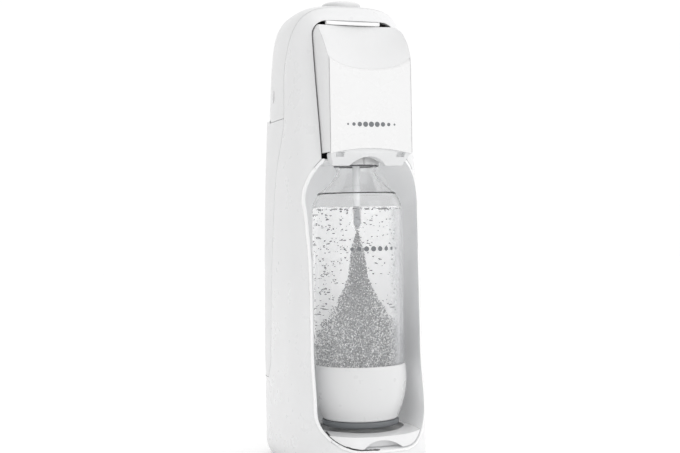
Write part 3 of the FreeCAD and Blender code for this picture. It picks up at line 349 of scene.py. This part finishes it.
def inward(profile, depth):
    """The same profile, moved in from the wall by a depth."""
    inside = []
    for index, point in enumerate(profile):
        before = Vector(profile[max(index - 1, 0)])
        after = Vector(profile[min(index + 1, len(profile) - 1)])
        way = (after - before).normalized()
        moved = Vector(point) + Vector((-way.y, way.x)) * depth
        inside.append((max(moved.x, 0.0), moved.y))
    return inside


def make_bottle():
    """The bottle's clear wall, open at its mouth; gives back its outside."""
    plastic = clear_glass("bottle_clear", 1.45)
    outside = bottle_profile()
    inside = inward(outside, WALL)
    inside[0] = (0.0, outside[0][1] + WALL)
    piece = lathe("bottle_wall", outside + inside[::-1], plastic, "bottle", closed=False)
    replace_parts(piece, "bottle")
    return outside


def make_water(outside):
    """The water, a little into the bottle's wall so that no air lies between them."""
    level = water_high.z
    brim, surface = level - WATER_LIP, level - 1.2 * MM
    body = [p for p in inward(outside, WALL - 0.25 * MM) if p[1] < brim]
    body[0] = (0.0, body[1][1])
    edge = body[-1][0]
    top = [(edge, brim), (edge - 0.6 * MM, level - 0.9 * MM), (edge - 2 * MM, surface), (8 * MM, surface),
           (5 * MM, level - 0.9 * MM), (TUBE_CLEARANCE, level - 0.4 * MM)]
    tube_foot = tip_low.z - 0.35 * MM
    top += [(TUBE_CLEARANCE, tube_foot + 4 * MM), (1.9 * MM, tube_foot), (0.0, tube_foot)]
    # the water gets a painted glow that lifts its brightness
    piece = lathe("bottle_water_body", body + top, clear_glass("water_clear", 1.33, glow=0.11), "bottle",
                  closed=False)
    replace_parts(piece, "bottle_water")


def make_cup():
    """The white cup, its soft rim and the dark ring that the bottle stands on."""
    white = moulded("cup_white", (0.75, 0.752, 0.755), 0.30, coat=0.3, edge=0)
    low, high = cup_low.z, cup_high.z
    radius = BOTTLE_RADIUS - 6.5 * MM
    wide = BOTTLE_RADIUS + 0.8 * MM
    foot = [(0.0, low), (radius - 3 * MM, low)]
    foot += bend((radius - 2.6 * MM, low), (radius, low + 3 * MM), 0.9 * MM, 5)
    lip_foot, lip_radius = high - 1.2 * MM, wide - 1.6 * MM
    side = bend((radius, low + 3 * MM), (wide, lip_foot), 3.2 * MM, 20)
    lip = bend((wide, lip_foot), (lip_radius, high), 0.45 * MM, 6)
    inner = [(lip_radius, high), (BOTTLE_RADIUS - 0.62 * MM, high - 0.3 * MM),
             (radius - 1.3 * MM, low + 10 * MM), (0.0, low + 1 * MM)]
    cup = lathe("cup_shell", foot + side + lip + inner, white, "bottle", closed=False)
    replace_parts(cup, "bottle_cup")
    grey = moulded("ring_grey", (0.16, 0.17, 0.18), 0.42, edge=0)
    base, top = ring_low.z, ring_high.z
    hole = radius - 8 * MM
    ring = [(hole, base), (radius - 1.5 * MM, base)]
    ring += bend((radius - 1.4 * MM, base), (radius, base + 1.5 * MM), 0.4 * MM, 5)
    ring += bend((radius, base + 1.5 * MM), (radius, top - 0.8 * MM), 0.2 * MM, 4)
    ring += bend((radius, top - 0.8 * MM), (radius - 1 * MM, top), 0.25 * MM, 4)
    ring += [(hole, top)]
    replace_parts(lathe("foot_ring", ring, grey, "bottle"), "bottle_foot_ring")


# ---------------------------------------------------------------- bubbles

def ico_points():
    """The twelve corners and twenty faces of a unit icosahedron."""
    gold = (1 + math.sqrt(5)) / 2
    points = [(-1, gold, 0), (1, gold, 0), (-1, -gold, 0), (1, -gold, 0), (0, -1, gold), (0, 1, gold),
              (0, -1, -gold), (0, 1, -gold), (gold, 0, -1), (gold, 0, 1), (-gold, 0, -1), (-gold, 0, 1)]
    faces = [(0, 11, 5), (0, 5, 1), (0, 1, 7), (0, 7, 10), (0, 10, 11), (1, 5, 9), (5, 11, 4),
             (11, 10, 2), (10, 7, 6), (7, 1, 8), (3, 9, 4), (3, 4, 2), (3, 2, 6), (3, 6, 8), (3, 8, 9),
             (4, 9, 5), (2, 4, 11), (6, 2, 10), (8, 6, 7), (9, 8, 1)]
    return [Vector(p).normalized() for p in points], faces


def bubble_cloud(name, bubbles, material):
    """Many small bubbles as one mesh, from (place, half axes, turn) entries."""
    unit, unit_faces = ico_points()
    points, faces = [], []
    for place, axes, turn in bubbles:
        start = len(points)
        for corner in unit:
            shaped = Vector((corner.x * axes[0], corner.y * axes[1], corner.z * axes[2]))
            points.append(place + turn @ shaped)
        faces += [tuple(start + corner for corner in face) for face in unit_faces]
    return mesh_piece(name, points, faces, material, "bottle")


def in_ring(chance, low, high, level):
    """A random place between two distances from the bottle's axis at a level."""
    turn = chance.uniform(0, 2 * math.pi)
    radius = math.sqrt(chance.uniform(low * low, high * high))
    return Vector((AXIS.x + radius * math.cos(turn), AXIS.y + radius * math.sin(turn), level))


def dash_axes(chance, length):
    """A flattened bubble seen as a short dash, with its own lean."""
    axes = (length, length, length * chance.uniform(0.4, 0.65))
    lean = Matrix.Rotation(chance.uniform(-0.6, 0.6), 3, "X") @ Matrix.Rotation(
        chance.uniform(-0.6, 0.6), 3, "Y")
    return axes, lean


# How wide the jet is below its tip, as depth and half width in millimetres.
JET = ((0, 0.5), (18, 4.6), (43, 7.0), (58, 12), (77, 21), (94, 31), (112, 38), (130, 38))


def jet_half(depth):
    """Half the jet's width at a depth, both in metres."""
    depth /= MM
    for (near, narrow), (far, wide) in zip(JET, JET[1:]):
        if depth <= far:
            return (narrow + (wide - narrow) * (depth - near) / (far - near)) * MM
    return JET[-1][1] * MM


def loose_dashes(chance, floor, level, edge):
    """Short dark dashes on the water, fewer to the right and more near the surface."""
    tries, floating = 900, 90
    fewer_right = 0.45
    dashes = []
    for _ in range(tries):
        height = level - (level - floor) * chance.random() ** 1.2
        place = in_ring(chance, 0.55 * edge, edge, height)
        if place.x > AXIS.x and chance.random() < fewer_right:
            continue
        dashes.append((place, *dash_axes(chance, chance.uniform(0.5, 1.15) * MM)))
    for _ in range(floating):
        spot = in_ring(chance, 0.3 * edge, edge, level + chance.uniform(-0.8, 0.8) * MM)
        dashes.append((spot, *dash_axes(chance, chance.uniform(0.5, 1.2) * MM)))
    return dashes


def jet_bubbles(chance, tip, floor, edge):
    """The jet's fine bubbles, sorted into dark, grey and light ones: painted shade and painted glints."""
    count = 15000
    dark_share = 0.16
    still = Matrix.Identity(3)
    groups = {"dark": [], "grey": [], "light": []}
    depth_all = tip - floor
    for _ in range(count):
        depth = depth_all * chance.random() ** 0.60
        half = min(jet_half(depth), edge)
        place = in_ring(chance, 0, half, tip - depth)
        size = chance.uniform(0.25, 0.55) * MM * (0.7 + 0.5 * depth / depth_all)
        away = math.hypot(place.x - AXIS.x, place.y - AXIS.y) / edge
        pick = chance.random()
        kind = "grey"
        # painted glints: light bubbles grow more common towards the bottle's wall
        if pick < 0.04 + 0.24 * away:
            kind = "light"
        elif pick > 1 - dark_share:
            kind = "dark"
        groups[kind].append((place, (size, size, size * chance.uniform(0.8, 1.6)), still))
    return groups


def make_bubbles():
    """The loose dashes, the jet and the painted shade on the water's right side, all from one seeded
    draw.
    """
    chance = random.Random(4)
    edge = BOTTLE_RADIUS - 2.6 * MM
    floor, level, tip = cup_high.z - 2 * MM, water_high.z - 2.6 * MM, tip_low.z - 0.5 * MM
    # clear air bubbles drawn in opaque tones: dark and grey are painted shade, light is painted glints
    tones = {
        "dark": moulded("bubble_painted_shade_dark", (0.10, 0.105, 0.115), 0.2, edge=0),
        "grey": moulded("bubble_painted_shade_grey", (0.30, 0.31, 0.33), 0.25, edge=0),
        "light": moulded("bubble_painted_glint", (0.95, 0.95, 0.95), 0.1, edge=0),
    }
    bubble_cloud("loose_bubbles", loose_dashes(chance, floor, level, edge), tones["dark"])
    for kind, bubbles in jet_bubbles(chance, tip, floor, edge).items():
        bubble_cloud("plume_" + kind, bubbles, tones[kind])
    make_shaded_side(floor, level)


def painted_shade_sheet_material():
    """Painted shade: a grey that fades out to the left, mottled by noise."""
    material, tree = new_material("water_painted_shade")
    # the sheet's grey is painted shade
    grey = principled(tree, Base_Color=(0.34, 0.35, 0.37, 1), Roughness=0.4)
    clear = tree.nodes.new("ShaderNodeBsdfTransparent")
    mix = tree.nodes.new("ShaderNodeMixShader")
    place = tree.nodes.new("ShaderNodeTexCoord")
    split = tree.nodes.new("ShaderNodeSeparateXYZ")
    tree.links.new(place.outputs["Object"], split.inputs[0])
    fade = spread(tree, split.outputs["X"], 0.0, 0.75, 14 * MM, 25 * MM)
    shade_mottle = spread(tree, noise(tree, 260, 4), 0.55, 1.0)
    product = tree.nodes.new("ShaderNodeMath")
    product.operation = "MULTIPLY"
    tree.links.new(fade, product.inputs[0])
    tree.links.new(shade_mottle, product.inputs[1])
    tree.links.new(product.outputs[0], mix.inputs[0])
    tree.links.new(clear.outputs[0], mix.inputs[1])
    tree.links.new(grey.outputs[0], mix.inputs[2])
    finish_with(tree, mix)
    return material


def make_shaded_side(floor, level):
    """Painted shade on the right side of the water: an open grey sheet just inside the bottle's wall,
    where the dark wall shows through.
    """
    radius = BOTTLE_RADIUS - 1.9 * MM
    first, sweep, steps = -72, 70, 32
    points, faces = [], []
    for step in range(steps + 1):
        turn = math.radians(first + sweep * step / steps)
        x, y = AXIS.x + radius * math.cos(turn), AXIS.y + radius * math.sin(turn)
        points += [(x, y, floor), (x, y, level)]
    for step in range(steps):
        low = 2 * step
        faces.append((low, low + 2, low + 3, low + 1))
    mesh_piece("water_painted_shade", points, faces, painted_shade_sheet_material(), "bottle")


def make_painted_shade_tube():
    """The part of the nozzle's tube that stands in the water, drawn dark there as painted shade."""
    # painted shade on the white tube below the water
    dark = moulded("tube_painted_shade", (0.16, 0.17, 0.19), 0.3, edge=0)
    low, high = tip_high.z - 0.2 * MM, water_high.z - WATER_LIP
    inner, outer = 3.42 * MM, 3.52 * MM
    ring = [(inner, low), (outer, low), (outer, high), (inner, high)]
    lathe("nozzle_painted_shade", ring, dark, "head", steps=64)


# ---------------------------------------------------------------- small details

def dot_row(name, centre, width, across_dir, out_dir, material, body, wrap=None):
    """A plain row of dots that swells to the middle: a neutral decoration."""
    count, sides, raised = 9, 20, 0.12 * MM
    smallest, swell = 0.9 * MM, 1.5 * MM
    points, faces = [], []
    for index in range(count):
        share = index / (count - 1) * 2 - 1
        radius = smallest + swell * (1 - share * share)
        middle = centre + across_dir * (share * width / 2)
        start = len(points)
        for lift in (0.0, raised):
            for step in range(sides):
                turn = 2 * math.pi * step / sides
                flat = across_dir * (radius * math.cos(turn)) + Vector((0, 0, radius * math.sin(turn)))
                place = middle + flat + out_dir * lift
                points.append(wrap(place, lift) if wrap else place)
        top = start + sides
        faces.append(tuple(top + step for step in range(sides)))
        for step in range(sides):
            after = (step + 1) % sides
            faces.append((start + step, start + after, top + after, top + step))
    return mesh_piece(name, points, faces, material, body, smooth=False)


def make_marks():
    """A row of dots low on the head's panel, and one around the bottle's front."""
    ink = moulded("mark_ink", (0.18, 0.19, 0.20), 0.4, edge=0)
    across, out = Vector((1, 0, 0)), Vector((0, -1, 0))
    panel_rise, panel_width = 26 * MM, 44 * MM
    bottle_drop, bottle_width = 97 * MM, 52 * MM
    centre = Vector((0, panel_low.y, panel_low.z + panel_rise))
    dot_row("panel_mark", centre, panel_width, across, out, ink, "base")

    def around(place, lift):
        """A flat place wrapped onto the bottle's wall."""
        turn = (place.x - AXIS.x) / BOTTLE_RADIUS
        radius = BOTTLE_RADIUS + 0.03 * MM + lift
        return Vector((AXIS.x + radius * math.sin(turn), AXIS.y - radius * math.cos(turn), place.z))

    centre = Vector((AXIS.x, AXIS.y, NECK_TOP - bottle_drop))
    dot_row("bottle_mark", centre, bottle_width, across, out, ink, "bottle", around)


def front_of(name, x, z):
    """The first point that a line from the front meets on a CAD node."""
    node = nodes[name]
    inverse = node.matrix_world.inverted()
    start = inverse @ Vector((x, -0.5, z))
    way = (inverse.to_3x3() @ Vector((0, 1, 0))).normalized()
    hit, place, _, _ = node.ray_cast(start, way)
    return node.matrix_world @ place if hit else None


def bead(name, path, radius, material, body):
    """A round bead along an open path, with closed ends."""
    sides = 12
    points, faces = [], []
    for index, middle in enumerate(path):
        way = (path[min(index + 1, len(path) - 1)] - path[max(index - 1, 0)]).normalized()
        first = way.cross(Vector((0, 1, 0))).normalized()
        second = way.cross(first)
        for side in range(sides):
            turn = 2 * math.pi * side / sides
            points.append(middle + (first * math.cos(turn) + second * math.sin(turn)) * radius)
    for index in range(len(path) - 1):
        for side in range(sides):
            beside = (side + 1) % sides
            faces.append((index * sides + side, index * sides + beside, (index + 1) * sides + beside,
                          (index + 1) * sides + side))
    faces.append(tuple(range(sides)))
    faces.append(tuple(reversed(range(len(points) - sides, len(points)))))
    return mesh_piece(name, points, faces, material, body)


def bay_outline():
    """Points around the bay's mouth, each where the liner's front edge is met from outside inward."""
    low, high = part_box("bay_liner")
    centre = (low.z + high.z) / 2
    steps, gap_half, tallness = 200, 8, 2.4
    farthest, nearest, stride = 0.16, 0.03, 0.0004
    top_limit = AXIS.z - 12 * MM
    path = []
    for step in range(steps + 1):
        turn = math.radians(90 + gap_half + (360 - 2 * gap_half) * step / steps)
        way = Vector((math.cos(turn), 0, math.sin(turn) * tallness)).normalized()
        reach = farthest
        while reach > nearest:
            spot = front_of("bay_liner", way.x * reach, centre + way.z * reach)
            if spot:
                break
            reach -= stride
        if spot and spot.z < top_limit:
            path.append(spot + Vector((0, 0.3 * MM, 0)) - way * 0.5 * MM)
    return path


def make_bay_rim():
    """The rounded lip around the bay's mouth, brighter white than the housing as a painted highlight, and
    a near-black bead beside the tray under it as painted shadow in the gap.
    """
    path = bay_outline()
    # partly painted highlight: a real rounded lip, drawn brighter than the housing
    white = moulded("rim_painted_highlight", (0.93, 0.93, 0.93), 0.25, coat=0.4, edge=0)
    bead("bay_rim", path, 1.25 * MM, white, "base")
    # painted shadow: a near-black bead where the gap beside the tray lies in shade
    dark = moulded("gap_painted_shadow", (0.02, 0.02, 0.02), 0.6, edge=0)
    tray_level, gap_left, gap_right = 42 * MM, -48 * MM, -6 * MM
    inward_step = Vector((2.1, 0.6, 1.5)) * MM
    gap = [p + inward_step for p in path if p.z < tray_level and gap_left < p.x < gap_right]
    bead("tray_gap_painted_shadow", gap, 0.75 * MM, dark, "base")


def make_painted_highlight_lip():
    """A bright strip over the head, between the head's top and the housing: a painted highlight, white
    and glowing, for the light on the slot's edge.
    """
    # painted highlight: bright white with a glow
    white = moulded("lip_painted_highlight", (0.95, 0.95, 0.95), 0.25, coat=0.4, edge=0, glow=0.1)
    radius = 1.9 * MM
    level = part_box("head_cover")[1].z + 2.1 * MM
    near = front_of("front_housing", 0, level + 4.2 * MM)
    path = [Vector((x * MM, near.y + 1.6 * MM, level)) for x in range(-28, 28, 4)]
    bead("slot_lip", path, radius, white, "base")


def make_neck_flange():
    """The thin dark ring at the top of the bottle's neck, under the collar."""
    dark = moulded("flange_grey", (0.12, 0.12, 0.13), 0.35, edge=0)
    top = collar_low.z - 0.2 * MM
    foot = top - 1.0 * MM
    inner, outer = NECK_RADIUS - 0.55 * MM, NECK_RADIUS + 2.4 * MM
    rim = [(inner, foot), (outer, foot), (outer + 0.4 * MM, top - 0.5 * MM), (outer, top), (inner, top)]
    lathe("neck_flange", rim, dark, "bottle", steps=96)


# ---------------------------------------------------------------- studio

def area_light(name, place, target, size, power):
    """A soft square light that looks at a target."""
    light = bpy.data.lights.new(name, "AREA")
    light.shape = "RECTANGLE"
    light.size, light.size_y = size, size
    light.energy = power
    lamp = bpy.data.objects.new(name, light)
    scene.collection.objects.link(lamp)
    lamp.location = place
    lamp.rotation_euler = (Vector(target) - Vector(place)).to_track_quat("-Z", "Y").to_euler()


def make_world():
    """An even white room, a little dimmer from the left."""
    world = bpy.data.worlds.new("studio")
    world.use_nodes = True
    tree = world.node_tree
    place = tree.nodes.new("ShaderNodeTexCoord")
    split = tree.nodes.new("ShaderNodeSeparateXYZ")
    tree.links.new(place.outputs["Generated"], split.inputs[0])
    strength = spread(tree, split.outputs["X"], 0.62, 1.02, -0.9, -0.05)
    backdrop = tree.nodes["Background"]
    backdrop.inputs["Color"].default_value = (1, 1, 1, 1)
    tree.links.new(strength, backdrop.inputs["Strength"])
    scene.world = world


def make_studio():
    """The white room, two soft lights and a plain pale floor."""
    make_world()
    scene.view_settings.view_transform = "Standard"
    scene.cycles.max_bounces = 24
    scene.cycles.diffuse_bounces = 8
    scene.cycles.transmission_bounces = 16
    scene.cycles.transparent_max_bounces = 32
    middle = (0, 0, 0.22)
    area_light("key", (0.9, -1.6, 0.9), middle, 1.2, 2.2)
    area_light("top", (-0.3, -0.6, 1.6), middle, 1.0, 1.5)
    floor_material = moulded("floor_white", (0.93, 0.93, 0.93), 0.6, edge=0, glow=0.16)
    size = 6.0
    mesh = bpy.data.meshes.new("floor")
    mesh.from_pydata([(-size, -size, 0), (size, -size, 0), (size, size, 0), (-size, size, 0)], [],
                     [(0, 1, 2, 3)])
    mesh.materials.append(floor_material)
    floor = bpy.data.objects.new("floor", mesh)
    scene.collection.objects.link(floor)


def make_camera():
    """Stands 1.1 m off, about 20 degrees round to the left of the front, at mid height."""
    around, distance, height = math.radians(20.1), 1.1, 0.2149
    yaw, pitch, roll = (math.radians(a) for a in (19.28, 0.35, -1.02))
    ahead = Vector((math.sin(yaw) * math.cos(pitch), math.cos(yaw) * math.cos(pitch), math.sin(pitch)))
    level = Vector((math.cos(yaw), -math.sin(yaw), 0))
    upright = level.cross(ahead)
    right = level * math.cos(roll) + upright * math.sin(roll)
    up = upright * math.cos(roll) - level * math.sin(roll)
    data = bpy.data.cameras.new("camera")
    data.lens, data.sensor_width = 63.3, 36.0
    camera = bpy.data.objects.new("camera", data)
    scene.collection.objects.link(camera)
    spot = Vector((AXIS.x - distance * math.sin(around), AXIS.y - distance * math.cos(around), height))
    turn = Matrix((right, up, -ahead)).transposed().to_4x4()
    camera.matrix_world = Matrix.Translation(spot) @ turn
    scene.camera = camera


dress_cad()
make_water(make_bottle())
make_cup()
make_bubbles()
make_marks()
make_neck_flange()
make_painted_shade_tube()
make_bay_rim()
make_painted_highlight_lip()
make_studio()
make_camera()
